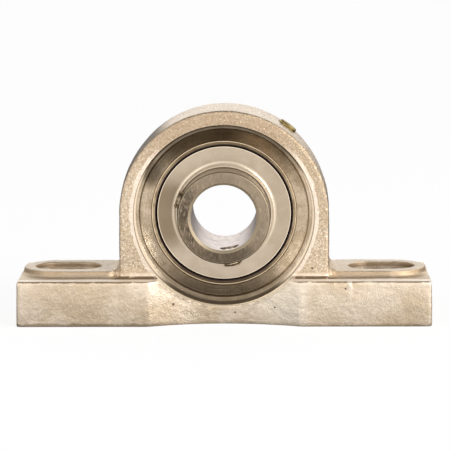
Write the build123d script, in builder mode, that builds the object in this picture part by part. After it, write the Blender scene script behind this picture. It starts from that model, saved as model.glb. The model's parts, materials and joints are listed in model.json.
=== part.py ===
from build123d import *
import os
from math import cos, radians, sin, sqrt

# Pillow block ball bearing unit for a 20 mm shaft, in millimetres.
# Origin: centre of the base's underside. +X runs along the base, +Y along the shaft
# to the rear, +Z up. The wide, set-screw side of the inner ring faces -Y.

# ---- Housing: base ----
base_length = 127.0
base_width = 38.0
ledge_height = 14.1
base_draft = 1.0
base_corner_radius = 1.2
ledge_edge_radius = 0.9
underside_chamfer = 0.5
waist_chord = 46.0
waist_depth = 5.2
waist_crease_radius = 2.0

# ---- Housing: boss pads and bolt slots ----
pad_height = 16.1
pad_width = 23.4
pad_length = 125.0
pad_draft = 6.0
pad_edge_radius = 0.5
neck_setback = 2.0
neck_corner_radius = 1.6
bolt_spacing = 97.0
slot_width = 13.0
slot_length = 20.0
slot_edge_chamfer = 0.4

# ---- Housing: dome ----
shaft_height = 33.3
dome_radius = 32.5
dome_width = 25.4
dome_draft = 1.6
dome_edge_radius = 0.9
dome_foot_radius = 0.8
cove_radius = 2.6
cove_setback = 0.6

# ---- Housing: machined recess on both faces, spherical seat, loading slots ----
mouth_diameter = 55.4
recess_diameter = 53.7
recess_floor = 7.3
recess_corner_radius = 1.5
seat_clearance = 0.05
loading_slot_clearance = 0.25
seat_groove_front = -1.3
seat_groove_rear = 4.9
seat_groove_depth = 0.6

# ---- Rings and balls ----
insert_diameter = 47.0
outer_ring_width = 14.0
outer_ring_chamfer = 0.3
shoulder_diameter = 38.4
shoulder_width = 10.1
seal_bore_diameter = 41.8
oil_groove_offset = 3.9
oil_groove_width = 2.4
oil_groove_depth = 0.5
oil_hole_diameter = 1.2
oil_hole_count = 2
bore_diameter = 20.0
inner_ring_diameter = 28.2
inner_ring_front = 18.3
inner_ring_rear = 12.7
bore_chamfer = 0.8
inner_ring_chamfer = 0.4
ball_count = 8
ball_diameter = 7.938
pitch_diameter = 33.5
race_gap = 0.03
groove_conformity = 0.52
first_ball_angle = 90.0

# ---- Ribbon cage ----
cage_thickness = 0.6
cage_width = 2.6
pocket_gap = 0.09
rivet_diameter = 1.2
rivet_head_diameter = 2.1
rivet_head_height = 0.4
rivet_clearance = 0.03

# ---- Seals and flingers ----
seal_plate_thickness = 0.5
seal_plate_bore = 31.4
seal_plate_clearance = 0.05
seal_lip_thickness = 0.5
seal_lip_diameter = 35.2
seal_lip_root_diameter = 30.0
seal_lip_tip_width = 0.2
seal_lip_clearance = 0.05
flinger_thickness = 0.6
flinger_gap = 0.2
flinger_diameter = 40.9
flinger_bend_radius = 1.3
flinger_hub_length = 2.65
press_clearance = 0.01

# ---- Set screws in the inner ring ----
screw_angles = {"set_screw_left": 160.0, "set_screw_bottom": 280.0}
screw_offset = 4.8
screw_diameter = 5.9
screw_length = 5.0
screw_thread_clearance = 0.05
screw_tip_gap = 0.3
screw_socket_width = 3.0
screw_socket_depth = 2.4
screw_edge_chamfer = 0.5
screw_cup_diameter = 3.0
screw_cup_depth = 0.7

# ---- Grease fitting on the dome ----
fitting_angle = 53.0
spotface_diameter = 7.0
spotface_depth = 0.35
fitting_head_diameter = 5.9
fitting_head_height = 1.1
fitting_head_chamfer = 0.35
fitting_shank_diameter = 5.0
fitting_shank_length = 5.4
fitting_clearance = 0.05
fitting_bore_diameter = 1.2
inlet_length = 0.7
chamber_diameter = 2.2
outlet_length = 0.7
port_tip_gap = 0.5
grease_passage_diameter = 2.5
check_ball_diameter = 1.8
check_ball_gap = 0.03
spring_wire = 0.25
spring_diameter = 1.6
spring_turns = 5.0
spring_end_gap = 0.05

# ---- Places that several pieces share ----
front = -1
rear = 1
shaft_axis = Axis((0, 0, shaft_height), (0, 1, 0))
# Half section: local x runs along the shaft, local y is the radius.
section = Plane(origin=(0, 0, shaft_height), x_dir=(0, 1, 0), z_dir=(1, 0, 0))
groove_radius = groove_conformity * ball_diameter
first_rivet_angle = first_ball_angle + 180 / ball_count
screw_y = screw_offset - inner_ring_front
screw_tip = bore_diameter / 2 + screw_tip_gap
fitting_seat = dome_radius - spotface_depth
chamber_top = fitting_seat + fitting_head_height - inlet_length
chamber_floor = fitting_seat - fitting_shank_length + outlet_length
check_ball_place = (
    chamber_top - sqrt(check_ball_diameter**2 - fitting_bore_diameter**2) / 2 - check_ball_gap
)


def across(side):
    """Plane square to the shaft through the ball centres, facing out of one side."""
    return Plane(origin=(0, 0, shaft_height), x_dir=(1, 0, 0), z_dir=(0, side, 0))


def radial(angle, radius, y=0):
    """Plane square to a radius of the shaft, with its normal pointing outwards."""
    out = Vector(cos(radians(angle)), 0, sin(radians(angle)))
    origin = Vector(0, y, shaft_height) + out * radius
    return Plane(origin=origin, x_dir=(0, 1, 0), z_dir=out)


def save(piece, name):
    """Labels a finished piece and writes its STEP file."""
    piece.part.label = name
    export_step(piece.part, f"parts/{name}.step")


# ---- Housing ----


def make_housing():
    """Casting: waisted base, boss pads, dome, recess, seat, slots and grease port."""
    waist_radius = (waist_chord**2 / 4 + waist_depth**2) / (2 * waist_depth)
    waist_centre = base_width / 2 - waist_depth + waist_radius
    dome_face = dome_width / 2
    seat_radius = insert_diameter / 2 + seat_clearance
    with BuildPart() as housing:
        # Base: a large circle hollows the middle of each long side.
        with BuildSketch(Plane.XY) as footprint:
            Rectangle(base_length, base_width)
            fillet(footprint.vertices(), base_corner_radius)
            with Locations((0, waist_centre), (0, -waist_centre)):
                Circle(waist_radius, mode=Mode.SUBTRACT)
            creases = footprint.vertices().filter_by(lambda v: abs(v.X) < waist_chord / 2 + 1)
            fillet(creases, waist_crease_radius)
        extrude(amount=ledge_height, taper=base_draft)
        fillet(housing.faces().sort_by(Axis.Z)[-1].edges(), ledge_edge_radius)
        chamfer(housing.faces().sort_by(Axis.Z)[0].edges(), underside_chamfer)

        # Boss pads: round outer ends, and inner ends that narrow to a point inside the dome.
        neck_start = dome_radius + neck_setback
        neck_tip = neck_start - pad_width / 2
        with BuildSketch(Plane.XY.offset(ledge_height)) as pads:
            SlotOverall(pad_length, pad_width)
            with Locations((neck_tip + pad_length / 2, 0)):
                RegularPolygon(pad_length / 2, side_count=4, mode=Mode.INTERSECT)
            corners = pads.vertices().filter_by(lambda v: abs(v.X - neck_start) < 0.05)
            fillet(corners, neck_corner_radius)
            mirror(about=Plane.YZ)
        extrude(amount=pad_height - ledge_height, taper=pad_draft)
        fillet(housing.faces().group_by(Axis.Z)[-1].edges(), pad_edge_radius)

        # Dome: an arch drafted both ways from the mid-plane, with a cove on each pad.
        with BuildSketch(Plane.XZ):
            with BuildLine():
                arch = CenterArc((0, shaft_height), dome_radius, 0, 180)
                Polyline(arch @ 1, (-dome_radius, 0), (dome_radius, 0), arch @ 0)
            make_face()
        extrude(amount=dome_face, both=True, taper=dome_draft)
        with BuildSketch(Plane.XZ):
            with Locations((dome_radius - cove_radius, pad_height - cove_radius)):
                Rectangle(2 * cove_radius, 2 * cove_radius, align=(Align.MIN, Align.MIN))
            with Locations((dome_radius + cove_radius, pad_height + cove_radius)):
                Circle(cove_radius, mode=Mode.SUBTRACT)
            mirror(about=Plane.YZ)
        extrude(amount=pad_width / 2 - neck_setback - cove_setback, both=True, taper=dome_draft)
        face_edges = housing.edges().filter_by(lambda e: abs(abs(e.center().Y) - dome_face) < 0.05)
        fillet(face_edges.filter_by(lambda e: e.center().Z > pad_height), dome_edge_radius)

        # Bolt slots, with a chamfer at the pads.
        slot_places = [(-bolt_spacing / 2, 0), (bolt_spacing / 2, 0)]
        with BuildSketch(Plane.XY):
            with Locations(*slot_places):
                SlotOverall(slot_length, slot_width)
        extrude(amount=pad_height + cove_radius, mode=Mode.SUBTRACT)
        with BuildSketch(Plane.XY.offset(pad_height - slot_edge_chamfer)):
            with Locations(*slot_places):
                SlotOverall(slot_length, slot_width)
        extrude(amount=slot_edge_chamfer, taper=-45, mode=Mode.SUBTRACT)

        # Recess on each face: a flat floor, a rounded corner and a wall that opens to the mouth.
        floor_edge = (recess_floor, recess_diameter / 2)
        with BuildSketch(section) as recess:
            with BuildLine():
                Polyline(
                    (recess_floor, 0),
                    floor_edge,
                    (dome_face, mouth_diameter / 2),
                    (base_width / 2, mouth_diameter / 2),
                    (base_width / 2, 0),
                    close=True,
                )
            make_face()
            fillet(recess.vertices().sort_by_distance(floor_edge)[0], recess_corner_radius)
            mirror(about=Plane.YZ)
        revolve(axis=shaft_axis, mode=Mode.SUBTRACT)
        face_edges = housing.edges().filter_by(lambda e: abs(abs(e.center().Y) - dome_face) < 0.05)
        fillet(face_edges.filter_by(lambda e: abs(e.center().Z - ledge_height) < 0.05), dome_foot_radius)

        # Spherical seat, its grease groove, and the loading slots behind it.
        with Locations((0, 0, shaft_height)):
            Sphere(seat_radius, mode=Mode.SUBTRACT)
        groove_width = seat_groove_rear - seat_groove_front
        with BuildSketch(section):
            with Locations((seat_groove_front, 0)):
                Rectangle(groove_width, seat_radius + seat_groove_depth, align=(Align.MIN, Align.MIN))
        revolve(axis=shaft_axis, mode=Mode.SUBTRACT)
        loading_slot_height = outer_ring_width + 2 * loading_slot_clearance
        with Locations((0, recess_floor / 2, shaft_height)):
            Box(2 * seat_radius, recess_floor, loading_slot_height, mode=Mode.SUBTRACT)

        # Port for the grease fitting, and the passage from it to the seat.
        with Locations(radial(fitting_angle, dome_radius)):
            CounterBoreHole(
                radius=fitting_shank_diameter / 2 + fitting_clearance,
                counter_bore_radius=spotface_diameter / 2,
                counter_bore_depth=spotface_depth,
                depth=spotface_depth + fitting_shank_length + port_tip_gap,
            )
            Hole(radius=grease_passage_diameter / 2, depth=dome_radius - insert_diameter / 2)
    return housing


# ---- Rings ----


def make_outer_ring():
    """Ring with a spherical outside, a ball groove, seal counterbores and oil holes."""
    ring_half = outer_ring_width / 2
    edge_radius = sqrt((insert_diameter / 2) ** 2 - ring_half**2)
    groove_centre = (pitch_diameter + ball_diameter) / 2 + race_gap - groove_radius
    shoulder_half = shoulder_width / 2
    with BuildPart() as ring:
        with BuildSketch(section) as profile:
            with BuildLine():
                ThreePointArc((-ring_half, edge_radius), (0, insert_diameter / 2), (ring_half, edge_radius))
                Polyline(
                    (ring_half, edge_radius),
                    (ring_half, seal_bore_diameter / 2),
                    (shoulder_half, seal_bore_diameter / 2),
                    (shoulder_half, shoulder_diameter / 2),
                    (-shoulder_half, shoulder_diameter / 2),
                    (-shoulder_half, seal_bore_diameter / 2),
                    (-ring_half, seal_bore_diameter / 2),
                    (-ring_half, edge_radius),
                )
            make_face()
            rims = profile.vertices().group_by(Axis.Y)[-1]
            chamfer(rims, outer_ring_chamfer)
            with Locations((0, groove_centre)):
                Circle(groove_radius, mode=Mode.SUBTRACT)
            with Locations((oil_groove_offset, insert_diameter / 2 - oil_groove_depth)):
                Rectangle(
                    oil_groove_width, insert_diameter, align=(Align.CENTER, Align.MIN), mode=Mode.SUBTRACT
                )
        revolve(axis=shaft_axis)
        for i in range(oil_hole_count):
            angle = first_ball_angle + 360 / oil_hole_count * i
            with Locations(radial(angle, insert_diameter / 2, oil_groove_offset)):
                Hole(radius=oil_hole_diameter / 2, depth=insert_diameter / 2 - groove_centre)
    return ring


def make_inner_ring():
    """Extended ring with a ball groove, a chamfered bore and two tapped radial holes."""
    groove_centre = (pitch_diameter - ball_diameter) / 2 - race_gap + groove_radius
    with BuildPart() as ring:
        with BuildSketch(section) as profile:
            with Locations((-inner_ring_front, bore_diameter / 2)):
                Rectangle(
                    inner_ring_front + inner_ring_rear,
                    (inner_ring_diameter - bore_diameter) / 2,
                    align=(Align.MIN, Align.MIN),
                )
            chamfer(profile.vertices().group_by(Axis.Y)[0], bore_chamfer)
            chamfer(profile.vertices().group_by(Axis.Y)[-1], inner_ring_chamfer)
            with Locations((0, groove_centre)):
                Circle(groove_radius, mode=Mode.SUBTRACT)
        revolve(axis=shaft_axis)
        for angle in screw_angles.values():
            with Locations(radial(angle, inner_ring_diameter / 2, screw_y)):
                Hole(radius=screw_diameter / 2 + screw_thread_clearance, depth=inner_ring_diameter / 2)
    return ring


# ---- Set screws ----


def make_set_screw(angle):
    """Hexagon-socket set screw with a cup point, on a radius of the inner ring."""
    with BuildPart() as screw:
        with BuildSketch(radial(angle, screw_tip, screw_y)):
            Circle(screw_diameter / 2)
        extrude(amount=screw_length)
        chamfer(screw.edges().filter_by(GeomType.CIRCLE), screw_edge_chamfer)
        with BuildSketch(radial(angle, screw_tip + screw_length, screw_y)):
            RegularPolygon(screw_socket_width / 2, side_count=6, major_radius=False)
        extrude(amount=-screw_socket_depth, mode=Mode.SUBTRACT)
        with Locations(radial(angle, screw_tip, screw_y)):
            Cone(
                bottom_radius=screw_cup_diameter / 2,
                top_radius=0,
                height=screw_cup_depth,
                align=(Align.CENTER, Align.CENTER, Align.MIN),
                mode=Mode.SUBTRACT,
            )
    return screw


# ---- Balls and ribbon cage ----


def make_ball(angle):
    """Bearing ball on the pitch circle."""
    with BuildPart(radial(angle, pitch_diameter / 2)) as ball:
        Sphere(ball_diameter / 2)
    return ball


def make_cage_half(side):
    """Pressed ribbon of one side: flats between the balls, spherical pockets over them."""
    pocket_radius = ball_diameter / 2 + pocket_gap
    with BuildPart(across(side)) as half:
        with BuildSketch(across(side)) as band:
            Circle((pitch_diameter + cage_width) / 2)
            Circle((pitch_diameter - cage_width) / 2, mode=Mode.SUBTRACT)
        extrude(amount=cage_thickness)
        with PolarLocations(pitch_diameter / 2, ball_count, start_angle=first_ball_angle):
            Sphere(pocket_radius + cage_thickness)
        extrude(band.sketch, amount=pocket_radius + cage_thickness, mode=Mode.INTERSECT)
        with PolarLocations(pitch_diameter / 2, ball_count, start_angle=first_ball_angle):
            Sphere(pocket_radius, mode=Mode.SUBTRACT)
        with PolarLocations(pitch_diameter / 2, ball_count, start_angle=first_rivet_angle):
            Cylinder(rivet_diameter / 2 + rivet_clearance, 2 * cage_width, mode=Mode.SUBTRACT)
    return half


def make_cage_rivets():
    """Rivets that clamp the cage halves together, one in the middle of each flat."""
    head_middle = cage_thickness + rivet_head_height / 2
    with BuildPart(across(front)) as rivets:
        with PolarLocations(pitch_diameter / 2, ball_count, start_angle=first_rivet_angle):
            Cylinder(rivet_diameter / 2, 2 * cage_thickness)
            with Locations((0, 0, head_middle), (0, 0, -head_middle)):
                Cylinder(rivet_head_diameter / 2, rivet_head_height)
    return rivets


# ---- Seals and flingers ----


def make_seal_plate(side):
    """Steel disc that stiffens the seal, seated on the outer ring's shoulder."""
    with BuildPart() as plate:
        with BuildSketch(across(side).offset(shoulder_width / 2)):
            Circle(seal_bore_diameter / 2 - seal_plate_clearance)
            Circle(seal_plate_bore / 2, mode=Mode.SUBTRACT)
        extrude(amount=seal_plate_thickness)
    return plate


def make_seal_lip(side):
    """Rubber lip on the seal plate, tapering to a narrow edge just clear of the inner ring."""
    plate_back = shoulder_width / 2
    plate_face = plate_back + seal_plate_thickness
    lip_face = plate_face + seal_lip_thickness
    lip_back = plate_back + seal_lip_clearance
    neck_radius = seal_plate_bore / 2 - seal_lip_clearance
    root_radius = seal_lip_root_diameter / 2
    tip_radius = inner_ring_diameter / 2 + seal_lip_clearance
    with BuildPart() as lip:
        with BuildSketch(section):
            with BuildLine():
                Polyline(
                    (side * plate_face, seal_lip_diameter / 2),
                    (side * lip_face, seal_lip_diameter / 2),
                    (side * lip_face, root_radius),
                    (side * (plate_face + seal_lip_tip_width), tip_radius),
                    (side * plate_face, tip_radius),
                    (side * lip_back, root_radius),
                    (side * lip_back, neck_radius),
                    (side * plate_face, neck_radius),
                    close=True,
                )
            make_face()
        revolve(axis=shaft_axis)
    return lip


def make_flinger(side):
    """Pressed steel disc in front of the seal, bent into a hub that grips the inner ring."""
    disc_back = shoulder_width / 2 + seal_plate_thickness + seal_lip_thickness + flinger_gap
    disc_face = disc_back + flinger_thickness
    hub_end = disc_back + flinger_hub_length
    hub_bore = inner_ring_diameter / 2 + press_clearance
    hub_radius = hub_bore + flinger_thickness
    with BuildPart() as flinger:
        with BuildSketch(section) as profile:
            with BuildLine():
                Polyline(
                    (side * disc_back, hub_bore),
                    (side * hub_end, hub_bore),
                    (side * hub_end, hub_radius),
                    (side * disc_face, hub_radius),
                    (side * disc_face, flinger_diameter / 2),
                    (side * disc_back, flinger_diameter / 2),
                    close=True,
                )
            make_face()
            outside = profile.vertices().sort_by_distance((side * disc_back, hub_bore))[0]
            fillet(outside, flinger_bend_radius + flinger_thickness)
            inside = profile.vertices().sort_by_distance((side * disc_face, hub_radius))[0]
            fillet(inside, flinger_bend_radius)
        revolve(axis=shaft_axis)
    return flinger


# ---- Grease fitting ----


def make_grease_fitting():
    """Low brass head on a plain shank, bored through, with a chamber for the check ball."""
    with BuildPart() as fitting:
        with BuildSketch(radial(fitting_angle, fitting_seat)):
            Circle(fitting_head_diameter / 2)
        extrude(amount=fitting_head_height)
        head_face = fitting.faces().sort_by(Axis.Z)[-1]
        chamfer(head_face.edges(), fitting_head_chamfer)
        with BuildSketch(radial(fitting_angle, fitting_seat)):
            Circle(fitting_shank_diameter / 2)
        extrude(amount=-fitting_shank_length)
        with Locations(radial(fitting_angle, fitting_seat + fitting_head_height)):
            Hole(fitting_bore_diameter / 2, depth=fitting_head_height + fitting_shank_length)
        with BuildSketch(radial(fitting_angle, chamber_floor)):
            Circle(chamber_diameter / 2)
        extrude(amount=chamber_top - chamber_floor, mode=Mode.SUBTRACT)
    return fitting


def make_check_ball():
    """Ball that closes the inlet from inside."""
    with BuildPart(radial(fitting_angle, check_ball_place)) as ball:
        Sphere(check_ball_diameter / 2)
    return ball


def make_check_spring():
    """Coil spring between the chamber's floor and the check ball."""
    coil_radius = (spring_diameter - spring_wire) / 2
    reach = (check_ball_diameter + spring_wire) / 2 + spring_end_gap
    start = chamber_floor + spring_end_gap + spring_wire / 2
    height = check_ball_place - sqrt(reach**2 - coil_radius**2) - start
    seat = radial(fitting_angle, start)
    with BuildPart() as spring:
        with BuildLine() as coil:
            Helix(
                pitch=height / spring_turns,
                height=height,
                radius=coil_radius,
                center=seat.origin,
                direction=seat.z_dir,
            )
        with BuildSketch(Plane(origin=coil.line @ 0, z_dir=coil.line % 0)):
            Circle(spring_wire / 2)
        sweep(path=coil.line)
    return spring


# ---- Build and export ----

os.makedirs("parts", exist_ok=True)
save(make_housing(), "housing")
save(make_outer_ring(), "outer_ring")
save(make_inner_ring(), "inner_ring")
for name, angle in screw_angles.items():
    save(make_set_screw(angle), name)
for i in range(ball_count):
    save(make_ball(first_ball_angle + 360 / ball_count * i), f"ball_{i + 1}")
for side, name in ((front, "front"), (rear, "rear")):
    save(make_cage_half(side), f"cage_{name}")
    save(make_seal_plate(side), f"seal_plate_{name}")
    save(make_seal_lip(side), f"seal_lip_{name}")
    save(make_flinger(side), f"flinger_{name}")
save(make_cage_rivets(), "cage_rivets")
save(make_grease_fitting(), "grease_fitting")
save(make_check_ball(), "fitting_check_ball")
save(make_check_spring(), "fitting_spring")
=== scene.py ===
import json
import math

import bpy
from mathutils import Matrix, Vector


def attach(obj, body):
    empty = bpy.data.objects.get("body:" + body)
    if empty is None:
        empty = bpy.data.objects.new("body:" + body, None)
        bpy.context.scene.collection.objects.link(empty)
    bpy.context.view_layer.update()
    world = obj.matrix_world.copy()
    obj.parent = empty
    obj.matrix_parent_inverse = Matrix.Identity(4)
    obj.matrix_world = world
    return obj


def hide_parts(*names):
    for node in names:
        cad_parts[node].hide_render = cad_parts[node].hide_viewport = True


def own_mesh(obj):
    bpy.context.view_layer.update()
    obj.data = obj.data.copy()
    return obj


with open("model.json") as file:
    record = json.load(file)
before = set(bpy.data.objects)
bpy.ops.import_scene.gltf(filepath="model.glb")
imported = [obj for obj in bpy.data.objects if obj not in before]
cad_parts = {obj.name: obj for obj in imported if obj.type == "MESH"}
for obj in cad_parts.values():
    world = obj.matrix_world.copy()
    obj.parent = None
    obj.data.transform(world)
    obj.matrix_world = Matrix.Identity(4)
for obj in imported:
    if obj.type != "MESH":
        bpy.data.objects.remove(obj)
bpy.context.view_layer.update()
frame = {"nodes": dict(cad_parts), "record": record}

# Plain values are in millimetres. AXIS is the shaft's height, and AXIS_HEIGHT the same in metres.
MM = 0.001
AXIS = 33.3
AXIS_HEIGHT = AXIS * MM
MERGE = 0.002 * MM


# ---- shader building -------------------------------------------------------------------------

class Wire:
    """An output socket. Sums, differences and products of wires become Math nodes."""

    def __init__(self, shader, socket):
        self.shader = shader
        self.socket = socket

    def __add__(self, other):
        return self.shader.math("ADD", self, other)

    def __radd__(self, other):
        return self.shader.math("ADD", other, self)

    def __sub__(self, other):
        return self.shader.math("SUBTRACT", self, other)

    def __rsub__(self, other):
        return self.shader.math("SUBTRACT", other, self)

    def __mul__(self, other):
        return self.shader.math("MULTIPLY", self, other)

    def __rmul__(self, other):
        return self.shader.math("MULTIPLY", other, self)


class Shader:
    """The nodes of one material or of the world."""

    def __init__(self, owner):
        owner.use_nodes = True
        self.tree = owner.node_tree
        self.tree.nodes.clear()

    def node(self, kind, settings, sockets, output=0):
        """A new node with these settings, values and wires, as the wire of one of its outputs."""
        made = self.tree.nodes.new(kind)
        for name, value in settings.items():
            setattr(made, name, value)
        for name, value in sockets.items():
            if isinstance(value, Wire):
                self.tree.links.new(value.socket, made.inputs[name])
            else:
                made.inputs[name].default_value = value
        return Wire(self, made.outputs[output]) if made.outputs else made

    def math(self, operation, first, second=0.0):
        return self.node("ShaderNodeMath", {"operation": operation}, {0: first, 1: second})

    def away(self, value, middle=0.0):
        """How far a value is from a middle, either way."""
        return self.math("ABSOLUTE", value - middle)

    def either(self, first, second):
        """The greater of two masks."""
        return self.math("MAXIMUM", first, second)

    def split(self, vector):
        """The wires of a vector's three parts."""
        return [self.node("ShaderNodeSeparateXYZ", {}, {0: vector}, part) for part in range(3)]

    def ray(self, kind):
        """1 for rays of this kind and 0 for the others."""
        return self.node("ShaderNodeLightPath", {}, {}, f"Is {kind} Ray")

    def between(self, value, low, high, to_low=0.0, to_high=1.0):
        """A smooth step from to_low to to_high as the value goes from low to high."""
        return self.node("ShaderNodeMapRange", {"interpolation_type": "SMOOTHSTEP"}, {
            "Value": value, "From Min": low, "From Max": high,
            "To Min": to_low, "To Max": to_high})

    def mix(self, factor, first, second):
        """The first colour where the factor is 0, the second where it is 1."""
        return self.node("ShaderNodeMix", {"data_type": "RGBA"}, {
            "Factor": factor, 6: first, 7: second}, 2)

    def bump(self, height, depth, normal=None):
        """Relief of the given depth in millimetres for a height that goes from 0 to 1."""
        sockets = {"Height": height, "Distance": depth * MM, "Strength": 1.0}
        if normal:
            sockets["Normal"] = normal
        return self.node("ShaderNodeBump", {}, sockets)


class Finish(Shader):
    """A material read from Object coordinates, in millimetres."""

    def __init__(self, name):
        self.material = bpy.data.materials.new(name)
        super().__init__(self.material)
        metres = self.node("ShaderNodeTexCoord", {}, {}, "Object")
        self.place = self.node("ShaderNodeVectorMath", {"operation": "SCALE"}, {
            0: metres, "Scale": 1.0 / MM})
        self.x, self.y, self.z = self.split(self.place)
        self.rise = self.z - AXIS
        self.from_axis = self.distance(self.x, self.rise)

    def distance(self, across, up):
        """Length of the slope over two sides."""
        return self.math("SQRT", across * across + up * up)

    def from_spot(self, x, z):
        """Distance from a point, seen along the shaft."""
        return self.distance(self.x - x, self.z - z)

    def noise(self, size, detail=3.0, roughness=0.5, where=None):
        """Cloudy values round 0.5 in patches of the given size in millimetres."""
        return self.node("ShaderNodeTexNoise", {}, {
            "Vector": where or self.place, "Scale": 1.0 / size, "Detail": detail,
            "Roughness": roughness})

    def stretched(self, scale, lean):
        """Places scaled along each axis and leant by degrees in the plane across the shaft."""
        return self.node("ShaderNodeMapping", {}, {
            "Vector": self.place, "Scale": scale, "Rotation": (0.0, math.radians(lean), 0.0)})

    def rings(self, pitch, detail=3.0, roughness=0.6):
        """Tool marks round the shaft axis, about one to each pitch."""
        return self.node("ShaderNodeTexNoise", {"noise_dimensions": "1D"}, {
            "W": self.from_axis + self.y * 1.7, "Scale": 1.0 / pitch, "Detail": detail,
            "Roughness": roughness})

    def pits(self, spacing, size):
        """Round marks of a size, scattered about the given spacing apart, 1 at their middles."""
        distance = self.node("ShaderNodeTexVoronoi", {"feature": "F1"}, {
            "Vector": self.place, "Scale": 1.0 / spacing, "Randomness": 1.0})
        return self.between(distance, 0.4 * size / spacing, 0.5 * size / spacing, 1.0, 0.0)

    def done(self, **sockets):
        """The finished material, from the values and wires of its sockets."""
        names = {key.replace("_", " "): value for key, value in sockets.items()}
        shader = self.node("ShaderNodeBsdfPrincipled", {}, names)
        self.node("ShaderNodeOutputMaterial", {}, {"Surface": shader})
        return self.material


def colour(red, green, blue):
    """A display colour from 0 to 255 as the light it stands for."""
    return tuple(((c / 255 + 0.055) / 1.055) ** 2.4 if c > 10 else c / 3294.6
                 for c in (red, green, blue)) + (1.0,)


# ---- finishes --------------------------------------------------------------------------------

# Masks are laid out in millimetres: x along the foot, y along the shaft, z up from the underside.
# The foot's ledge is 14.1 up, the pads round the bolt slots 16.1, the dome's faces 12.7 off middle.

PIT_SPOTS = ((-15.5, 6.4, 0.45), (36.9, 11.6, 0.4), (15.4, 5.4, 0.35), (26.9, 16.9, 0.4))
RIB_X = 39.0
# Where a painted dark reflection sits in the recess, and how far off middle a painted shade line
# runs round its wall.
DARK_REFLECTION_SPOT = (-22.3, AXIS + 12.4)
SHADE_LINE = 11.9

# The recess looks slightly dished: its relief leans inwards with the radius and the height, and
# from the edge of its floor its wall is turned towards the front.
DISH = 0.26
DISH_RISE = 0.32 / 54.0
WALL_START = 7.5
WALL_TURN = 1.8


def painted_corner_shade(f, waver):
    """Brown painted shade in the corners: along the foot, under the ledge, at the dome's foot, in a
    slot; along the foot it is partly a real stain.
    """
    low = f.z + waver * 1.6
    foot = f.between(low, 1.9, 1.5) * f.between(f.x, -17.0, -21.0)
    foot = f.either(foot, f.between(low, 1.3, 1.0) * f.between(f.x, 20.0, 44.0))
    off_middle = f.away(f.y)
    lip = f.between(f.z + waver * 1.4, 14.1, 14.3) * f.between(off_middle, 17.8, 18.3)
    lip = lip * f.between(f.z, 13.95, 13.8) * f.between(waver, 0.36, 0.46)
    off_centre = f.away(f.x)
    crease = f.between(f.away(f.z, 14.2), 0.55, 0.25) * f.between(waver, 0.3, 0.4)
    crease = crease * f.between(off_middle, 15.0, 14.4) * f.between(off_middle, 11.9, 12.3)
    crease = crease * f.between(off_centre, 33.0, 35.0, 1.0, 0.3)
    slot = f.between(off_middle, 7.2, 6.8) * f.between(f.z, 15.8, 15.5)
    slot = slot * f.between(off_centre, 37.8, 38.2) * f.between(off_centre, 59.2, 58.8)
    slot = slot * f.between(f.x, -1.0, 1.0, 0.0, 0.4)
    return f.either(f.either(f.either(foot * 0.45, lip * 0.65), crease * 0.8), slot)


def cast_pits(f):
    """Pits all over, and a few larger ones on the front."""
    pits = f.pits(9.0, 0.9)
    for x, z, size in PIT_SPOTS:
        spot = f.between(f.from_spot(x, z), size, size * 0.6) * f.between(f.y, -10.0, -11.0)
        pits = f.either(pits, spot)
    return pits


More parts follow.
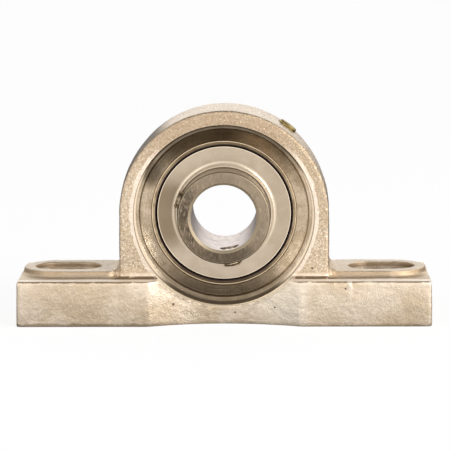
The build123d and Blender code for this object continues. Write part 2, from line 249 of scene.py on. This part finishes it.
def cast_stainless():
    """Shot-blasted casting: sandy skin and pits, with brown painted shade in the corners and along
    the edges, partly a real stain along the foot, and painted light on the ledge, the pads' tops,
    the waist and the mouth's cast edge.
    """
    f = Finish("as_cast_stainless")
    off_middle = f.away(f.y)
    off_centre = f.away(f.x)
    broad = f.noise(16.0, 3.0, 0.6)
    lumps = f.noise(1.2, 5.0, 0.68)
    mottle = f.noise(0.9, 2.0, 0.5)
    grain = f.noise(0.5, 3.0, 0.6)
    waver = f.noise(3.0, 3.0, 0.6)

    dome = f.between(f.z, 15.0, 16.5) * f.between(off_middle, 13.0, 13.4, 1.0, 0.0)
    crown = f.between(f.from_axis, 31.6, 32.0) * f.between(f.z, 17.0, 19.0)
    crown = crown * f.between(off_centre, 34.0, 33.5)
    beside = f.between(off_centre, 33.5, 35.0)
    pad = f.between(f.z, 15.7, 16.0) * beside
    flank = f.between(f.z, 14.3, 14.6) * f.between(f.z, 15.9, 15.6) * beside
    ledge = f.between(f.z, 14.5, 14.2) * f.between(f.z, 13.7, 13.9)
    ledge = ledge * f.between(off_middle, 13.5, 15.0)
    waist = f.between(f.x, 6.0, 14.0) * f.between(f.x, 27.0, 23.0) * f.between(f.z, 14.0, 12.0)

    base = f.mix(f.between(broad, 0.36, 0.64), colour(216, 195, 166), colour(236, 218, 196))
    base = f.mix(dome * 0.65, base, colour(192, 172, 144))
    base = f.mix(f.between(mottle, 0.4, 0.6) * (0.12 + 0.4 * dome), base, colour(168, 142, 112))
    base = f.mix(f.between(lumps, 0.56, 0.68) * (0.1 + 0.4 * dome), base, colour(140, 116, 88))
    base = f.mix(f.between(grain, 0.54, 0.66) * (0.2 + 0.55 * dome), base, colour(255, 244, 230))
    # Painted shade: brown, deepening towards the top of the dome's face and a little more on its
    # left.
    brown = f.between(f.z - f.x * 0.1, 44.0, 60.0) * (1.0 - crown)
    base = f.mix(brown * 0.5, base, colour(160, 134, 106))
    shade = crown * f.between(f.z, 62.0, 57.0) * f.between(f.z, 28.0, 42.0)
    shade = shade * f.between(off_middle, 12.6, 12.2) * f.between(f.x, -5.0, 5.0, 0.95, 0.1)
    base = f.mix(shade, base, colour(104, 92, 76))
    # Painted shade on the walls round the pads.
    base = f.mix(flank * 0.75, base, colour(170, 146, 116))
    right = dome * f.between(f.x, 12.0, 24.0) * f.between(f.z, 24.0, 36.0)
    base = f.mix(right * 0.3, base, colour(160, 140, 114))
    # Painted light: the pads' tops, the right of the waist and the ledge are lightened.
    base = f.mix(pad * 0.35, base, colour(255, 248, 236))
    base = f.mix(waist * 0.45, base, colour(255, 244, 226))
    base = f.mix(ledge * 0.4, base, colour(255, 248, 236))
    # Brown painted shade in the corners, partly a real stain along the foot.
    stain_and_painted_shade = painted_corner_shade(f, waver)
    base = f.mix(stain_and_painted_shade, base, colour(112, 88, 62))

    # Painted highlight on the cast edge just outside the mouth, at its left and right.
    mouth_edge_highlight = f.between(f.from_axis + waver * 2.0, 30.0, 29.7) * f.between(off_middle, 11.8, 12.2)
    flanks = f.between(f.away(f.z, AXIS), 22.0, 16.0)
    base = f.mix(mouth_edge_highlight * flanks * 0.75, base, colour(246, 230, 214))
    rib = f.between(f.away(f.x + waver * 1.5, RIB_X), 1.1, 0.2)
    rib = rib * f.between(f.z + waver * 1.6, 8.0, 13.0) * f.between(f.y, -17.0, -18.0)
    base = f.mix(rib * 0.5, base, colour(255, 244, 230))
    pits = cast_pits(f)
    base = f.mix(pits * 0.85, base, colour(84, 66, 50))

    relief = f.bump(lumps * (0.6 + 0.9 * dome) + rib * 0.6, 0.2)
    relief = f.bump(grain, 0.1, relief)
    relief = f.bump(1.0 - pits, 0.12, relief)
    metal = 0.9 - ledge * 0.4 - pad * 0.3 - shade * 0.5
    rough = 0.42 + grain * 0.14 + stain_and_painted_shade * 0.15 + pad * 0.1 + mouth_edge_highlight * 0.1 + shade * 0.3
    return f.done(Base_Color=base, Metallic=metal, Roughness=rough - crown * 0.2, Normal=relief)


def bored_stainless():
    """The recess and the seat, turned on a lathe: bright metal with fine rings, painted shade at
    the top and bottom, painted highlights on the wall's sides and the mouth's edge, a painted dark
    reflection and a painted shade line.
    """
    f = Finish("bored_stainless")
    marks = f.rings(0.22, 3.0, 0.7)
    wear = f.noise(4.0, 4.0, 0.6)
    nicks = f.noise(0.7, 3.0, 0.6)
    off_middle = f.away(f.y)
    wall = f.between(off_middle, 9.0, 9.8)
    rim = f.between(off_middle, 12.2, 12.4)
    sides = wall * f.between(f.rise, 16.0, 8.0) * f.between(f.rise, -23.0, -17.0)

    base = f.mix(f.between(wear, 0.38, 0.66), colour(190, 172, 148), colour(164, 146, 120))
    base = f.mix(f.between(nicks, 0.6, 0.74) * 0.4, base, colour(236, 224, 206))
    # Painted shade: darker at the top of the recess and, less, at its bottom.
    base = f.mix(f.between(f.rise, 10.0, 21.0) * 0.8, base, colour(66, 56, 45))
    base = f.mix(f.between(f.rise, -15.0, -23.0) * 0.6, base, colour(104, 87, 66))
    # A painted dark reflection on the upper left of the recess.
    dark_reflection = f.between(f.from_spot(*DARK_REFLECTION_SPOT), 5.5, 1.5) * f.between(off_middle, 6.0, 6.5)
    base = f.mix(dark_reflection * 0.75, base, colour(70, 58, 44))
    # Painted highlight on the wall at the left and right; painted shade on it at the top and
    # bottom.
    base = f.mix(sides, base, colour(240, 218, 190))
    base = f.mix(wall * f.between(f.rise, 9.0, 18.0) * 0.95, base, colour(48, 40, 31))
    base = f.mix(wall * f.between(f.rise, -17.0, -24.0) * 0.85, base, colour(62, 50, 38))
    # A painted shade line round the wall near the mouth.
    shade_line = f.between(f.away(off_middle, SHADE_LINE), 0.45, 0.25)
    base = f.mix(shade_line * 0.8, base, colour(96, 76, 54))
    # A painted highlight on the mouth's broken edge.
    base = f.mix(rim, base, colour(222, 202, 172))

    relief = f.bump(f.from_axis * DISH + f.rise * f.rise * DISH_RISE, 1.0)
    relief = f.bump(f.either(off_middle - WALL_START, 0.0) * -WALL_TURN, 1.0, relief)
    relief = f.bump(marks * (1.0 - wall), 0.035, relief)
    return f.done(Base_Color=base, Metallic=0.95 - sides * 0.4 - rim * 0.5,
                  Roughness=0.18 + wear * 0.12 + sides * 0.1, Normal=relief)


def ground_ring():
    """Ring steel: ground faces crossed by slanting wheel marks, with painted shade low down and
    painted light on the upper right.
    """
    f = Finish("ground_ring")
    marks = f.noise(0.8, 4.0, 0.65, f.stretched((1.6, 0.25, 0.5), 40.0))
    blotch = f.noise(4.0, 4.0, 0.6)
    face = f.between(f.from_axis, 10.3, 10.7)
    chamfer = f.either(f.between(f.from_axis, 10.9, 10.75), f.between(f.from_axis, 13.6, 13.75))
    chamfer = chamfer * f.between(f.y, -17.4, -17.6)
    outside = f.between(f.from_axis, 13.85, 13.95)
    rim_front = f.between(f.y, -17.7, -17.9)

    steel = f.mix(f.between(blotch, 0.38, 0.62), colour(118, 102, 84), colour(84, 72, 58))
    steel = f.mix(f.between(marks, 0.5, 0.72) * 0.5, steel, colour(190, 174, 152))
    # Painted shade towards the bottom of the face, and painted light on its upper right.
    steel = f.mix(f.between(f.z, 26.0, 22.0) * 0.6, steel, colour(78, 66, 54))
    painted_lit_side = f.between(f.x + f.z, AXIS - 10.0, AXIS + 10.0)
    steel = f.mix(painted_lit_side * 0.4, steel, colour(180, 162, 138))
    bore = f.mix(f.between(blotch, 0.4, 0.7), colour(204, 190, 182), colour(186, 170, 160))
    stain_and_painted_shade = f.between(f.noise(1.6, 3.0, 0.6), 0.6, 0.66) * f.between(f.z, 25.5, 24.5)
    bore = f.mix(stain_and_painted_shade * f.between(f.y, -12.0, -4.0), bore, colour(92, 60, 50))
    base = f.mix(face, bore, steel)
    base = f.mix(chamfer, base, colour(186, 170, 144))
    base = f.mix(outside * rim_front * 0.85, base, colour(58, 46, 36))
    base = f.mix(outside * (1.0 - rim_front) * 0.45, base, colour(206, 188, 162))

    relief = f.bump(marks * face, 0.015)
    relief = f.bump(f.rings(0.3), 0.004, relief)
    return f.done(Base_Color=base, Metallic=0.92,
                  Roughness=0.28 + blotch * 0.14 + chamfer * 0.25, Normal=relief)


def honed_ring():
    """The outer ring: brown-tinged steel with painted shade at the top and bottom, a painted
    highlight round its rim and painted shadow on its inner edge.
    """
    f = Finish("honed_outer_ring")
    wear = f.noise(3.0, 4.0, 0.6)
    inner = f.between(f.from_axis, 21.3, 21.15)
    base = f.mix(f.between(wear, 0.35, 0.65), colour(170, 150, 122), colour(132, 112, 88))
    # Painted shade at the top and bottom, deepest at the bottom.
    base = f.mix(f.between(f.away(f.z, AXIS), 12.0, 18.0) * 0.75, base, colour(92, 74, 54))
    base = f.mix(f.between(f.z, 20.0, 15.0) * 0.5, base, colour(52, 42, 32))
    # A painted highlight round the rim.
    base = f.mix(f.between(f.from_axis, 21.9, 22.05), base, colour(236, 216, 184))
    base = f.mix(f.between(f.from_axis, 22.3, 22.4), base, colour(104, 80, 50))
    # Painted shadow on the inner edge beside the gap.
    base = f.mix(inner, base, colour(36, 14, 4))
    return f.done(Base_Color=base, Metallic=0.95 - inner * 0.95,
                  Roughness=0.24 + wear * 0.1 + inner * 0.5,
                  Normal=f.bump(f.rings(0.25), 0.008))


def pressed_steel():
    """Flinger: bright sheet steel with faint drawing rings and a few scratches, painted shade on
    its left and its collar, and painted highlights round its rim and on its bend by the hub.
    """
    f = Finish("pressed_flinger")
    haze = f.noise(6.0, 4.0, 0.6)
    upright = f.noise(1.0, 2.0, 0.5, f.stretched((6.0, 0.3, 0.3), 8.0))
    left = f.between(f.x, -9.0, -16.0) * f.between(f.away(f.z, AXIS), 15.0, 6.0)
    hub = f.between(f.from_axis, 16.4, 15.4)
    collar = f.between(f.away(f.y), 8.55, 8.75) * f.between(f.from_axis, 14.5, 14.4)
    base = f.mix(f.between(haze, 0.36, 0.64), colour(190, 174, 154), colour(182, 165, 144))
    base = f.mix(f.between(upright, 0.66, 0.74) * 0.5, base, colour(238, 226, 208))
    base = f.mix(f.pits(8.0, 0.5) * 0.7, base, colour(96, 80, 64))
    # Painted shade on the left, and a little on the right.
    base = f.mix(left * 0.8, base, colour(122, 105, 82))
    base = f.mix(f.between(f.x, 11.0, 17.0) * 0.3, base, colour(150, 132, 110))
    # Painted highlights round the outer rim and on the bend by the hub; painted shade on the
    # collar.
    base = f.mix(f.between(f.from_axis, 20.2, 20.3), base, colour(230, 212, 188))
    base = f.mix(hub * 0.7, base, colour(236, 220, 196))
    base = f.mix(collar * 0.85, base, colour(70, 56, 42))
    return f.done(Base_Color=base, Metallic=0.95 - hub * 0.45, Roughness=0.27 + haze * 0.1,
                  Normal=f.bump(f.rings(0.35), 0.006))


def plain_metal(name, tone, dark, roughness, size=1.5):
    """Small plain parts with clouded wear."""
    f = Finish(name)
    wear = f.noise(size, 4.0, 0.6)
    base = f.mix(f.between(wear, 0.4, 0.7), colour(*tone), colour(*dark))
    return f.done(Base_Color=base, Metallic=0.95, Roughness=roughness + wear * 0.15,
                  Normal=f.bump(wear, 0.02))


def rubber():
    """Seal rubber, dull and dusty."""
    f = Finish("seal_rubber")
    dust = f.noise(0.5, 3.0, 0.6)
    base = f.mix(dust, colour(30, 28, 26), colour(52, 48, 44))
    return f.done(Base_Color=base, Metallic=0.0, Roughness=0.6, Normal=f.bump(dust, 0.02))


def assign(piece, material, chosen=None, second=None):
    """Gives a piece one finish, and the faces that chosen(face) picks a second one."""
    piece.data.materials.clear()
    piece.data.materials.append(material)
    if chosen:
        piece.data.materials.append(second)
        for face in piece.data.polygons:
            face.material_index = 1 if chosen(face) else 0


# ---- modelling -------------------------------------------------------------------------------

def deselect():
    """Leaves edit mode and selects nothing."""
    if bpy.context.object and bpy.context.object.mode != "OBJECT":
        bpy.ops.object.mode_set(mode="OBJECT")
    bpy.ops.object.select_all(action="DESELECT")


def pick(piece):
    """Makes a piece the only selected one."""
    deselect()
    piece.select_set(True)
    bpy.context.view_layer.objects.active = piece
    return piece


def apply(piece, kind, **settings):
    """Adds a modifier and applies it."""
    pick(piece)
    modifier = piece.modifiers.new(kind.title(), kind)
    for name, value in settings.items():
        setattr(modifier, name, value)
    bpy.ops.object.modifier_apply(modifier=modifier.name)


def settle(piece):
    """Moves a piece's place, turn and scale into its mesh."""
    pick(piece)
    bpy.ops.object.transform_apply(location=True, rotation=True, scale=True)
    return piece


def edit_all(piece):
    """Enters edit mode on one piece with all of it selected."""
    pick(piece)
    bpy.ops.object.mode_set(mode="EDIT")
    bpy.ops.mesh.select_all(action="SELECT")


def linked(name, data):
    """A new object of this data in the scene."""
    made = bpy.data.objects.new(name, data)
    bpy.context.scene.collection.objects.link(made)
    return made


def merged_copy(node, name):
    """A loose copy of a CAD node with its doubles merged."""
    piece = linked(name, frame["nodes"][node].data.copy())
    edit_all(piece)
    bpy.ops.mesh.remove_doubles(threshold=MERGE)
    bpy.ops.mesh.customdata_custom_splitnormals_clear()
    bpy.ops.object.mode_set(mode="OBJECT")
    return piece


def outline(name, points):
    """A piece with only the edges of a closed outline through points in metres."""
    deselect()
    bpy.ops.mesh.primitive_plane_add(size=MM, location=(0, 0, 0))
    piece = bpy.context.object
    piece.name = name
    edit_all(piece)
    bpy.ops.mesh.delete(type="VERT")
    bpy.ops.object.mode_set(mode="OBJECT")
    count = len(points)
    piece.data.from_pydata(points, [(i, (i + 1) % count) for i in range(count)], [])
    return piece


def spun(piece, steps, centre, axis):
    """An outline spun once round an axis into a closed solid."""
    edit_all(piece)
    bpy.ops.mesh.spin(steps=steps, angle=math.tau, center=centre, axis=axis)
    bpy.ops.mesh.select_all(action="SELECT")
    bpy.ops.mesh.remove_doubles(threshold=MERGE)
    bpy.ops.mesh.normals_make_consistent(inside=False)
    bpy.ops.object.mode_set(mode="OBJECT")
    return piece


def turned_solid(name, profile):
    """A closed half section of (radius, y) points in millimetres, spun round the shaft axis."""
    piece = outline(name, [(radius * MM, y * MM, AXIS_HEIGHT) for radius, y in profile])
    return spun(piece, 192, (0, 0, AXIS_HEIGHT), (0, 1, 0))


def smooth(piece, degrees):
    """Shades a piece smooth, apart from the edges that turn by more than this."""
    pick(piece)
    bpy.ops.object.shade_smooth_by_angle(angle=math.radians(degrees))


def cut(piece, tool, operation="DIFFERENCE"):
    """Cuts a piece with a closed tool, or joins them, and takes the tool away."""
    apply(piece, "BOOLEAN", object=tool, operation=operation, solver="MANIFOLD")
    bpy.data.objects.remove(tool)


# ---- housing ---------------------------------------------------------------------------------

DOME_RADIUS = 32.5
DOME_FACE = 12.7
MOUTH_RADIUS = 27.7
RECESS_RADIUS = 26.85
FLOOR = 7.3
FLOOR_CORNER = 1.5
SEAT_RADIUS = 23.55
GROOVE = (-1.3, 4.9, 24.15)                 # front, rear, radius
LOADING_SLOT = 14.5
FITTING_ANGLE = 53.0
SPOTFACE = (3.5, DOME_RADIUS - 0.35)        # radius, distance from the shaft axis
FITTING_BORE = (2.55, DOME_RADIUS - 6.25)   # the same
GREASE_PASSAGE = 1.25
BEYOND = 20.0
SKIM = 0.05
EDGE_BREAK = 0.35
UNDERSIDE_STOCK = 1.5
VOXEL = 0.5
SWELL = (9.0, 0.3)                          # size, strength
SAND = (1.5, 0.14)                          # the same
SKIN_LEVEL = 0.9


def arc(centre_r, centre_y, radius, start, end, steps=8):
    """Points of an arc in a half section, with its angles in degrees from outwards."""
    angles = [math.radians(start + (end - start) * i / steps) for i in range(steps + 1)]
    return [(centre_r + radius * math.cos(a), centre_y + radius * math.sin(a)) for a in angles]


def recess_tool(side):
    """Bores the floor, the round corner, the wall and the broken edge of one face's mouth."""
    slope = (MOUTH_RADIUS - RECESS_RADIUS) / (DOME_FACE - FLOOR)
    wall = RECESS_RADIUS + SKIM
    mouth = MOUTH_RADIUS + SKIM
    profile = [(0.0, FLOOR)]
    profile += arc(wall - FLOOR_CORNER, FLOOR + FLOOR_CORNER, FLOOR_CORNER, -90, -8)
    profile += [(mouth - slope * EDGE_BREAK, DOME_FACE - EDGE_BREAK),
                (mouth + EDGE_BREAK * 0.6, DOME_FACE + 0.1),
                (mouth + EDGE_BREAK * 0.6, BEYOND), (0.0, BEYOND)]
    return turned_solid("recess_tool", [(r, side * y) for r, y in profile])


def seat_tool(steps=24):
    """Bores the spherical seat and its grease groove."""
    start, end, groove_radius = GROOVE
    reach = FLOOR + 0.5
    ball = []
    for i in range(steps + 1):
        y = -reach + 2 * reach * i / steps
        ball.append((groove_radius if start <= y <= end else math.sqrt(SEAT_RADIUS**2 - y * y), y))
    return turned_solid("seat_tool", [(0.0, -reach)] + ball + [(0.0, reach)])


def radial_tool(radius, inner, outer):
    """A drill on the grease fitting's radius, from one distance to another."""
    deselect()
    turn = math.radians(FITTING_ANGLE)
    middle = (inner + outer) / 2 * MM
    bpy.ops.mesh.primitive_cylinder_add(
        vertices=64, radius=radius * MM, depth=(outer - inner) * MM,
        location=(middle * math.cos(turn), 0, AXIS_HEIGHT + middle * math.sin(turn)),
        rotation=(0, math.pi / 2 - turn, 0))
    return settle(bpy.context.object)


def loading_slot_tool():
    """Cuts the rear slots that let the insert in across the seat."""
    deselect()
    bpy.ops.mesh.primitive_cube_add(
        size=1.0, location=(0, FLOOR / 2 * MM, AXIS_HEIGHT),
        scale=(2 * SEAT_RADIUS * MM, FLOOR * MM, LOADING_SLOT * MM))
    return settle(bpy.context.object)


def roughen(piece, name, size, strength, depth, group):
    """Sinks the casting's skin by clouds of a size and strength in millimetres."""
    texture = bpy.data.textures.new(name, "CLOUDS")
    texture.noise_scale = size * MM
    texture.noise_depth = depth
    apply(piece, "DISPLACE", texture=texture, strength=strength * MM, mid_level=SKIN_LEVEL,
          vertex_group=group)


def bored(face):
    """Whether a face of the housing lies on a machined surface."""
    x, y, z = face.center / MM
    height = z - AXIS
    turn = math.radians(FITTING_ANGLE)
    along = x * math.cos(turn) + height * math.sin(turn)
    across = math.hypot(y, height * math.cos(turn) - x * math.sin(turn))
    in_port = across < SPOTFACE[0] + 0.02 and SEAT_RADIUS < along < SPOTFACE[1] + 0.02
    in_mouth = math.hypot(x, height) < MOUTH_RADIUS + EDGE_BREAK
    skin = abs(y) > DOME_FACE - EDGE_BREAK - 0.3 and abs(face.normal.y) > 0.85
    return in_mouth and not skin or in_port or z < 0.01


def filled_blank():
    """The machined housing with its mouth and port filled and stock under its foot."""
    piece = merged_copy("housing", "cast_housing")
    deselect()
    bpy.ops.mesh.primitive_cylinder_add(
        vertices=96, radius=(MOUTH_RADIUS + 0.8) * MM, depth=2 * DOME_FACE * MM,
        location=(0, 0, AXIS_HEIGHT), rotation=(math.pi / 2, 0, 0))
    mouth_plug = settle(bpy.context.object)
    port_plug = radial_tool(SPOTFACE[0] + 0.1, SEAT_RADIUS + 1.45, DOME_RADIUS - 0.1)
    pick(piece)
    mouth_plug.select_set(True)
    port_plug.select_set(True)
    bpy.ops.object.join()
    for vertex in piece.data.vertices:
        if vertex.co.z < 0.05 * MM:
            vertex.co.z = -UNDERSIDE_STOCK * MM
    return piece


def before_mouth(point):
    """Whether a point lies on the foot in front of the mouth, where the foot stays even."""
    x, y, z = point / MM
    return math.hypot(x, z - AXIS) < MOUTH_RADIUS + 0.5 and abs(y) > DOME_FACE + 0.2


def cast_housing():
    """The casting: the housing grown back to its as-cast skin, then bored again."""
    piece = filled_blank()
    apply(piece, "REMESH", mode="VOXEL", voxel_size=VOXEL * MM)
    apply(piece, "SMOOTH", factor=0.5, iterations=1)
    skin = piece.vertex_groups.new(name="skin")
    skin.add([v.index for v in piece.data.vertices if not before_mouth(v.co)], 1.0, "REPLACE")
    roughen(piece, "swell", *SWELL, 2, skin.name)
    roughen(piece, "sand", *SAND, 3, skin.name)
    for side in (-1, 1):
        cut(piece, recess_tool(side))
    cut(piece, seat_tool())
    cut(piece, loading_slot_tool())
    cut(piece, radial_tool(*SPOTFACE, DOME_RADIUS + 3))
    cut(piece, radial_tool(*FITTING_BORE, DOME_RADIUS + 3))
    cut(piece, radial_tool(GREASE_PASSAGE, SEAT_RADIUS - 1, DOME_RADIUS))
    edit_all(piece)
    bpy.ops.mesh.bisect(plane_co=(0, 0, 0), plane_no=(0, 0, 1), use_fill=True,
                        clear_inner=True, threshold=MERGE / 2)
    bpy.ops.object.mode_set(mode="OBJECT")
    smooth(piece, 38)
    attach(piece, "housing_body")
    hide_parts("housing")
    return piece


# ---- set screws ------------------------------------------------------------------------------

SCREW_Y = -13.5
SCREW_TIP = 10.3
SCREW_LENGTH = 5.0
SCREW_RADIUS = 2.95
THREAD_DEPTH = 0.45
THREAD_PITCH = 0.75
THREAD_TURNS = 9
THREAD_START = -0.8
SOCKET_WIDTH = 3.0
SOCKET_DEPTH = 2.4
SCREW_ANGLES = {"set_screw_left": 160.0, "set_screw_bottom": 280.0}


def upright_solid(name, profile):
    """A closed half section of (radius, height) points in millimetres, spun round the Z axis."""
    piece = outline(name, [(radius * MM, 0.0, height * MM) for radius, height in profile])
    return spun(piece, 64, (0, 0, 0), (0, 0, 1))


def thread(root):
    """A helical ridge of triangular section on a root radius, with closed ends."""
    inside, crest = root - 0.2, root + THREAD_DEPTH
    section = [(inside, 0.04), (crest, 0.44 * THREAD_PITCH), (crest, 0.56 * THREAD_PITCH),
               (inside, THREAD_PITCH - 0.04)]
    ridge = outline("ridge", [(radius * MM, 0.0, height * MM) for radius, height in section])
    apply(ridge, "SCREW", angle=math.tau, screw_offset=THREAD_PITCH * MM,
          iterations=THREAD_TURNS, steps=48, render_steps=48, use_merge_vertices=False)
    edit_all(ridge)
    bpy.ops.mesh.remove_doubles(threshold=MERGE / 2)
    bpy.ops.mesh.fill_holes(sides=0)
    bpy.ops.mesh.select_all(action="SELECT")
    bpy.ops.mesh.normals_make_consistent(inside=False)
    bpy.ops.object.mode_set(mode="OBJECT")
    return ridge


def hexagon_socket(width, depth, top):
    """A hexagonal broach of a width across flats."""
    deselect()
    bpy.ops.mesh.primitive_cylinder_add(
        vertices=6, radius=width / math.sqrt(3) * MM, depth=(depth + 1) * MM,
        location=(0, 0, (top - depth / 2 + 0.5) * MM))
    return settle(bpy.context.object)


def stand_on_radius(piece, angle, y, radius):
    """Turns a piece built up the Z axis onto a radius of the shaft."""
    turn = math.radians(angle)
    piece.rotation_euler = (0, math.pi / 2 - turn, 0)
    piece.location = (radius * MM * math.cos(turn), y * MM,
                      AXIS_HEIGHT + radius * MM * math.sin(turn))
    settle(piece)


def threaded_screw():
    """One screw, upright on its point: a core and a thread, trimmed and broached."""
    root = SCREW_RADIUS - THREAD_DEPTH
    top = SCREW_LENGTH
    core = upright_solid("screw", [(0, 0.5), (1.5, 0.0), (root, 0.35), (root, top - 0.2),
                                   (root - 0.2, top), (0, top)])
    ridge = thread(root)
    ridge.location.z = THREAD_START * MM
    cut(core, settle(ridge), "UNION")
    blank = upright_solid("blank", [(0, 0.0), (root - 0.3, 0.0), (SCREW_RADIUS, 0.7),
                                    (SCREW_RADIUS, top - 0.5), (root - 0.1, top), (0, top)])
    cut(core, blank, "INTERSECT")
    cut(core, hexagon_socket(SOCKET_WIDTH, SOCKET_DEPTH, top))
    return core


def make_set_screws():
    """Socket set screws with a rolled thread, a cup point and a hexagon socket."""
    model = threaded_screw()
    for name, angle in SCREW_ANGLES.items():
        screw = linked("threaded_" + name, model.data.copy())
        stand_on_radius(screw, angle, SCREW_Y, SCREW_TIP)
        smooth(screw, 35)
        assign(screw, FINISHES["screw_steel"])
        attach(screw, "screw_" + name.split("_")[-1] + "_body")
        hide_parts(name)
    bpy.data.objects.remove(model)


# ---- grease fitting --------------------------------------------------------------------------


def make_spring():
    """The check ball's coil spring, copied from the CAD spring with its own mesh; the real spring
    is pressed together on its seat as the ball goes in.
    """
    spring = merged_copy("fitting_spring", "coil_spring")
    smooth(spring, 50)
    assign(spring, FINISHES["spring_steel"])
    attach(spring, "housing_body")
    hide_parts("fitting_spring")
    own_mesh(spring)


# ---- stage -----------------------------------------------------------------------------------

FLOOR_SIZE = 6.0
# FLOOR_NEAR is the level of a painted shadow on the floor close in front of the object, as metal
# mirrors it.
FLOOR_NEAR = 0.03
FLOOR_FRONT = 1.5
FLOOR_BEHIND = 0.2
FLOOR_SEEN_WHITE = 0.88
FLOOR_MIRRORED_WHITE = 0.9
ROOM_LEVEL = 1.35
ROOM_DIFFUSE = 0.55
WHITE = (1.0, 1.0, 1.0, 1.0)
PALE = (0.9, 0.9, 0.9, 1.0)
LENS = 206.761
SENSOR = 36.0
CAMERA_PLACE = (0.012121, -0.79115, 0.146569)
CAMERA_PAN = 0.867
CAMERA_DIP = 8.487
CAMERA_ROLL = -0.2564
LAMP_AIM = (0, 0, 0.03)
LAMPS = {
    "key": {"place": (1.2, -0.9, 0.75), "width": 1.0, "height": 1.0, "watts": 24.0},
    "fill": {"place": (-1.1, -1.0, 0.9), "width": 1.8, "height": 1.4, "watts": 11.0},
    "back": {"place": (0.1, 1.6, 0.6), "width": 2.2, "height": 0.9, "watts": 4.0},
}


def make_floor():
    """A pale floor that shows white to the eye and keeps the object's shadow; in metal it glows,
    with a painted shadow close in front of the object.
    """
    deselect()
    bpy.ops.mesh.primitive_plane_add(size=FLOOR_SIZE, location=(0, 0, 0))
    floor = bpy.context.object
    floor.name = "floor"
    material = bpy.data.materials.new("floor")
    shader = Shader(material)
    camera, glossy = shader.ray("Camera"), shader.ray("Glossy")
    place = shader.node("ShaderNodeTexCoord", {}, {}, "Object")
    reach = shader.node("ShaderNodeVectorMath", {"operation": "LENGTH"}, {0: place}, "Value")
    across, along, _ = shader.split(place)
    # For rays that metal mirrors, the floor glows: a painted shadow close in front of the object,
    # brighter further in front, dimmer behind and to the left.
    behind = shader.between(along, 0.02, 0.15)
    left = shader.between(across, -0.1, -0.3) * shader.between(along, -0.2, -0.1)
    far = shader.between(along, -0.04, -0.06, FLOOR_NEAR, FLOOR_FRONT)
    far = far * shader.between(reach, 0.25, 0.8, 1.0, 0.6) * (1.0 - 0.7 * left)
    far = far + behind * (FLOOR_BEHIND - far)
    pale = shader.node("ShaderNodeBsdfDiffuse", {}, {"Color": PALE})
    white = shader.node("ShaderNodeEmission", {}, {
        "Color": WHITE, "Strength": camera + (1.0 - camera) * far})
    surface = shader.node("ShaderNodeMixShader", {}, {
        0: camera * FLOOR_SEEN_WHITE + glossy * FLOOR_MIRRORED_WHITE, 1: pale, 2: white})
    shader.node("ShaderNodeOutputMaterial", {}, {"Surface": surface})
    floor.data.materials.append(material)


def softbox(name, place, width, height, watts):
    """A rectangular lamp aimed at the object."""
    lamp = bpy.data.lights.new(name, "AREA")
    lamp.shape = "RECTANGLE"
    lamp.size = width
    lamp.size_y = height
    lamp.energy = watts
    box = linked(name, lamp)
    ahead = Vector(LAMP_AIM) - Vector(place)
    box.location = place
    box.rotation_euler = ahead.to_track_quat("-Z", "Y").to_euler()
    box.visible_camera = False


def make_world():
    """A white room: even light, with darker walls and floor where metal mirrors them."""
    world = bpy.data.worlds.new("studio")
    bpy.context.scene.world = world
    shader = Shader(world)
    glossy = shader.ray("Glossy")
    seen = shader.either(shader.ray("Camera"), shader.ray("Transmission"))
    ways = shader.node("ShaderNodeTexCoord", {}, {}, "Generated")
    across, along, up = shader.split(ways)
    behind = shader.between(along, -0.1, 0.3)
    front = shader.between(up, 0.0, 0.2, ROOM_LEVEL, 0.9) * shader.between(up, 0.5, 0.74, 1.0, 0.1)
    front = front * shader.between(across, -0.65, -0.9, 1.0, 0.15)
    back = shader.between(up, 0.1, 0.24, 0.3, 1.25) * shader.between(up, 0.4, 0.75, 1.0, 0.15)
    mirrored = front + behind * (back - front)
    level = seen + (1.0 - seen) * (glossy * mirrored + (1.0 - glossy) * ROOM_DIFFUSE)
    light = shader.node("ShaderNodeBackground", {}, {"Color": WHITE, "Strength": level})
    shader.node("ShaderNodeOutputWorld", {}, {"Surface": light})


def make_camera():
    """A long lens in front of the bearing, a little above it and to its right."""
    lens = bpy.data.cameras.new("camera")
    lens.lens = LENS
    lens.sensor_width = SENSOR
    lens.clip_start = 0.05
    lens.clip_end = 20.0
    camera = linked("camera", lens)
    camera.matrix_world = (
        Matrix.Translation(CAMERA_PLACE)
        @ Matrix.Rotation(math.radians(CAMERA_PAN), 4, "Z")
        @ Matrix.Rotation(math.radians(90.0 - CAMERA_DIP), 4, "X")
        @ Matrix.Rotation(math.radians(CAMERA_ROLL), 4, "Z"))
    bpy.context.scene.camera = camera


# ---- the whole bearing -----------------------------------------------------------------------

FINISHES = {
    "cast_stainless": cast_stainless(),
    "ring_steel": ground_ring(),
    "flinger_steel": pressed_steel(),
    # The seal plates are near-black: grease and painted shade in the gap.
    "seal_steel": plain_metal("greasy_seal_plate", (18, 14, 11), (9, 7, 6), 0.6),
    "ball_steel": plain_metal("polished_ball", (215, 212, 208), (200, 196, 190), 0.08),
    "cage_steel": plain_metal("cage_strip", (180, 172, 160), (150, 140, 126), 0.3),
    "seal_rubber": rubber(),
    "screw_steel": plain_metal("bright_set_screw", (206, 190, 164), (96, 80, 62), 0.22, 0.8),
    "fitting_brass": plain_metal("fitting_brass", (176, 154, 98), (120, 100, 62), 0.35),
    "spring_steel": plain_metal("spring_wire", (170, 165, 158), (140, 130, 120), 0.3),
}
for part in frame["record"]["subparts"]:
    assign(frame["nodes"][part["node"]], FINISHES[part["material_slot"]])
assign(frame["nodes"]["outer_ring"], honed_ring())

assign(cast_housing(), FINISHES["cast_stainless"], bored, bored_stainless())
make_set_screws()
make_spring()
make_floor()
make_world()
make_camera()
for lamp_name, values in LAMPS.items():
    softbox(lamp_name, **values)
bpy.context.scene.view_settings.view_transform = "Standard"
